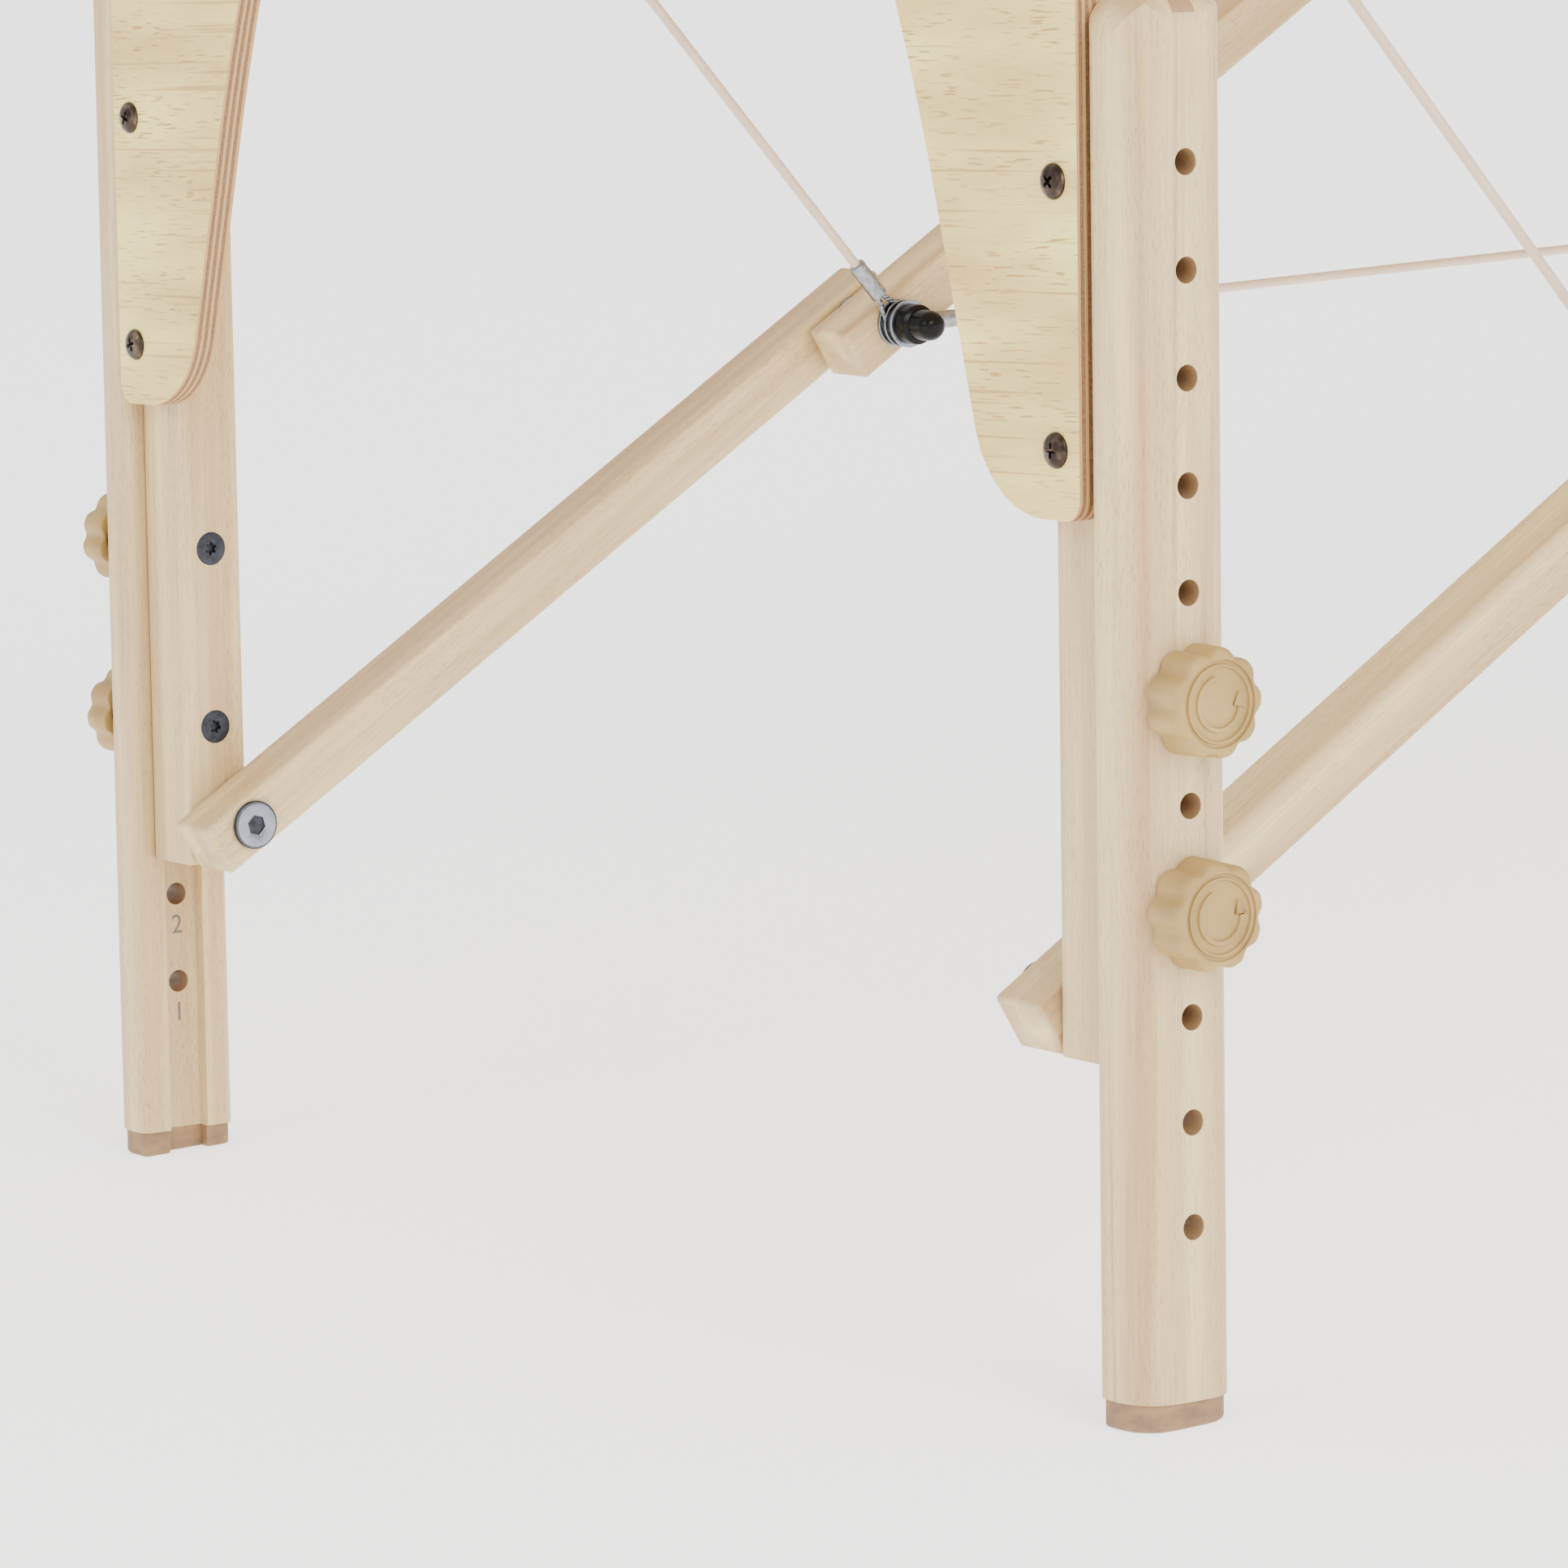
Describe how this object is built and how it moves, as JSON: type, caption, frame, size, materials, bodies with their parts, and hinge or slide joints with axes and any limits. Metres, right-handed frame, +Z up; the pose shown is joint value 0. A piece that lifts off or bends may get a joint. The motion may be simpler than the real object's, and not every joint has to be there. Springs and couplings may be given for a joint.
{
  "type": "portable folding massage table",
  "caption": "Portable folding massage table: two hinged padded halves on telescoping wooden legs with hole-and-knob height setting, arched end panels, knee braces and stay cables.",
  "frame": {"origin": "on the floor under the middle of the table", "axes": "+X along the table towards the foot end, +Y towards the back side, +Z up"},
  "size_m": [1.86, 0.762, 0.705],
  "materials": {
    "vinyl": "soft satin upholstery vinyl",
    "plywood": "bare birch plywood",
    "beech": "clear satin lacquer",
    "laminated_plywood": "printed maple laminate, satin",
    "zinc_steel": "bright zinc plate",
    "black_steel": "black phosphate",
    "bronze_steel": "antique bronze plate",
    "black_rubber": "satin",
    "tan_rubber": "matt, lightly scuffed",
    "tan_plastic": "moulded, fine matt",
    "coated_cable": "clear beige coat over wire rope",
    "strap_leather": "padded webbing grip"
  },
  "bodies": {
    "head_half": {"head_pad": "vinyl", "head_deck": "plywood", "head_side_rails": "beech", "head_cross_rails": "beech", "head_leg_brackets": "zinc_steel", "head_brace_blocks": "beech", "head_hinge_bolts": "zinc_steel", "head_cable_eyes": "zinc_steel", "head_stay_cables": "coated_cable", "head_hinge_leaves": "zinc_steel", "head_carry_strap": "strap_leather"},
    "head_leg_frame": {"head_fixed_legs": "beech", "head_clamp_bolts": "black_steel", "head_pivot_bolts": "zinc_steel", "head_end_panel": "laminated_plywood", "head_panel_screws": "bronze_steel"},
    "head_lower_brace_pair": {"head_lower_braces": "beech", "head_knee_bolts": "zinc_steel"},
    "head_upper_brace_pair": {"head_upper_braces": "beech", "head_knee_studs": "zinc_steel", "head_knee_caps": "black_rubber"},
    "head_back_extension": {"head_back_extension_leg": "beech", "head_back_leg_tip": "tan_rubber"},
    "head_back_lower_clamp": {"head_back_lower_knob": "tan_plastic"},
    "head_back_upper_clamp": {"head_back_upper_knob": "tan_plastic"},
    "head_front_extension": {"head_front_extension_leg": "beech", "head_front_leg_tip": "tan_rubber"},
    "head_front_lower_clamp": {"head_front_lower_knob": "tan_plastic"},
    "head_front_upper_clamp": {"head_front_upper_knob": "tan_plastic"},
    "foot_half": {"foot_pad": "vinyl", "foot_deck": "plywood", "foot_side_rails": "beech", "foot_cross_rails": "beech", "foot_leg_brackets": "zinc_steel", "foot_brace_blocks": "beech", "foot_hinge_bolts": "zinc_steel", "foot_cable_eyes": "zinc_steel", "foot_stay_cables": "coated_cable", "foot_hinge_leaves": "zinc_steel", "foot_carry_strap": "strap_leather"},
    "foot_leg_frame": {"foot_fixed_legs": "beech", "foot_clamp_bolts": "black_steel", "foot_pivot_bolts": "zinc_steel", "foot_end_panel": "laminated_plywood", "foot_panel_screws": "bronze_steel"},
    "foot_lower_brace_pair": {"foot_lower_braces": "beech", "foot_knee_bolts": "zinc_steel"},
    "foot_upper_brace_pair": {"foot_upper_braces": "beech", "foot_knee_studs": "zinc_steel", "foot_knee_caps": "black_rubber"},
    "foot_back_extension": {"foot_back_extension_leg": "beech", "foot_back_leg_tip": "tan_rubber"},
    "foot_back_lower_clamp": {"foot_back_lower_knob": "tan_plastic"},
    "foot_back_upper_clamp": {"foot_back_upper_knob": "tan_plastic"},
    "foot_front_extension": {"foot_front_extension_leg": "beech", "foot_front_leg_tip": "tan_rubber"},
    "foot_front_lower_clamp": {"foot_front_lower_knob": "tan_plastic"},
    "foot_front_upper_clamp": {"foot_front_upper_knob": "tan_plastic"},
    "hinge_pin_set": {"hinge_pins": "zinc_steel", "link_cables": "coated_cable"}
  },
  "joints": [
    {"name": "table_fold_first", "type": "hinge", "parent": "head_half", "child": "hinge_pin_set", "pos_m": [0, 0, 0.5488], "axis": [0, 1, 0], "range_deg": [0, 110], "deforming": ["head_stay_cables", "foot_stay_cables", "link_cables"]},
    {"name": "table_fold_last", "type": "hinge", "parent": "hinge_pin_set", "child": "foot_half", "pos_m": [0, 0, 0.5488], "axis": [0, 1, 0], "range_deg": [0, 70]},
    {"name": "head_leg_fold", "type": "hinge", "parent": "head_half", "child": "head_leg_frame", "pos_m": [-0.882, 0, 0.605], "axis": [0, -1, 0], "range_deg": [0, 89.65]},
    {"name": "head_lower_brace_fold", "type": "hinge", "parent": "head_leg_frame", "child": "head_lower_brace_pair", "pos_m": [-0.897, 0, 0.1242], "axis": [0, -1, 0], "range_deg": [0, 58.46]},
    {"name": "head_upper_brace_fold", "type": "hinge", "parent": "head_half", "child": "head_upper_brace_pair", "pos_m": [-0.06621, 0, 0.6], "axis": [0, 1, 0], "range_deg": [0, 32.37]},
    {"name": "head_back_height", "type": "slide", "parent": "head_leg_frame", "child": "head_back_extension", "axis": [-0.0312, 0, -0.9995], "range_m": [-0.09525, 0.09525]},
    {"name": "head_back_lower_knob_turn", "type": "hinge", "parent": "head_leg_frame", "child": "head_back_lower_clamp", "pos_m": [-0.89599, 0.309, 0.15657], "axis": [0, 1, 0], "continuous": true},
    {"name": "head_back_upper_knob_turn", "type": "hinge", "parent": "head_leg_frame", "child": "head_back_upper_clamp", "pos_m": [-0.89401, 0.309, 0.22004], "axis": [0, 1, 0], "continuous": true},
    {"name": "head_front_height", "type": "slide", "parent": "head_leg_frame", "child": "head_front_extension", "axis": [-0.0312, 0, -0.9995], "range_m": [-0.09525, 0.09525]},
    {"name": "head_front_lower_knob_turn", "type": "hinge", "parent": "head_leg_frame", "child": "head_front_lower_clamp", "pos_m": [-0.89599, -0.309, 0.15657], "axis": [0, -1, 0], "continuous": true},
    {"name": "head_front_upper_knob_turn", "type": "hinge", "parent": "head_leg_frame", "child": "head_front_upper_clamp", "pos_m": [-0.89401, -0.309, 0.22004], "axis": [0, -1, 0], "continuous": true},
    {"name": "foot_leg_fold", "type": "hinge", "parent": "foot_half", "child": "foot_leg_frame", "pos_m": [0.882, 0, 0.605], "axis": [0, 1, 0], "range_deg": [0, 89.65]},
    {"name": "foot_lower_brace_fold", "type": "hinge", "parent": "foot_leg_frame", "child": "foot_lower_brace_pair", "pos_m": [0.897, 0, 0.1242], "axis": [0, 1, 0], "range_deg": [0, 58.46]},
    {"name": "foot_upper_brace_fold", "type": "hinge", "parent": "foot_half", "child": "foot_upper_brace_pair", "pos_m": [0.06621, 0, 0.6], "axis": [0, -1, 0], "range_deg": [0, 32.37]},
    {"name": "foot_back_height", "type": "slide", "parent": "foot_leg_frame", "child": "foot_back_extension", "axis": [0.0312, 0, -0.9995], "range_m": [-0.09525, 0.09525]},
    {"name": "foot_back_lower_knob_turn", "type": "hinge", "parent": "foot_leg_frame", "child": "foot_back_lower_clamp", "pos_m": [0.89599, 0.309, 0.15657], "axis": [0, 1, 0], "continuous": true},
    {"name": "foot_back_upper_knob_turn", "type": "hinge", "parent": "foot_leg_frame", "child": "foot_back_upper_clamp", "pos_m": [0.89401, 0.309, 0.22004], "axis": [0, 1, 0], "continuous": true},
    {"name": "foot_front_height", "type": "slide", "parent": "foot_leg_frame", "child": "foot_front_extension", "axis": [0.0312, 0, -0.9995], "range_m": [-0.09525, 0.09525]},
    {"name": "foot_front_lower_knob_turn", "type": "hinge", "parent": "foot_leg_frame", "child": "foot_front_lower_clamp", "pos_m": [0.89599, -0.309, 0.15657], "axis": [0, -1, 0], "continuous": true},
    {"name": "foot_front_upper_knob_turn", "type": "hinge", "parent": "foot_leg_frame", "child": "foot_front_upper_clamp", "pos_m": [0.89401, -0.309, 0.22004], "axis": [0, -1, 0], "continuous": true}
  ],
  "couplings": [
    {"joint": "head_leg_fold", "follows": "table_fold_first", "ratio": 0.81454},
    {"joint": "head_lower_brace_fold", "follows": "table_fold_first", "ratio": 0.53103},
    {"joint": "head_upper_brace_fold", "follows": "table_fold_first", "ratio": 0.29382},
    {"joint": "foot_leg_fold", "follows": "table_fold_first", "ratio": 0.81454},
    {"joint": "foot_lower_brace_fold", "follows": "table_fold_first", "ratio": 0.53103},
    {"joint": "foot_upper_brace_fold", "follows": "table_fold_first", "ratio": 0.29382}
  ]
}
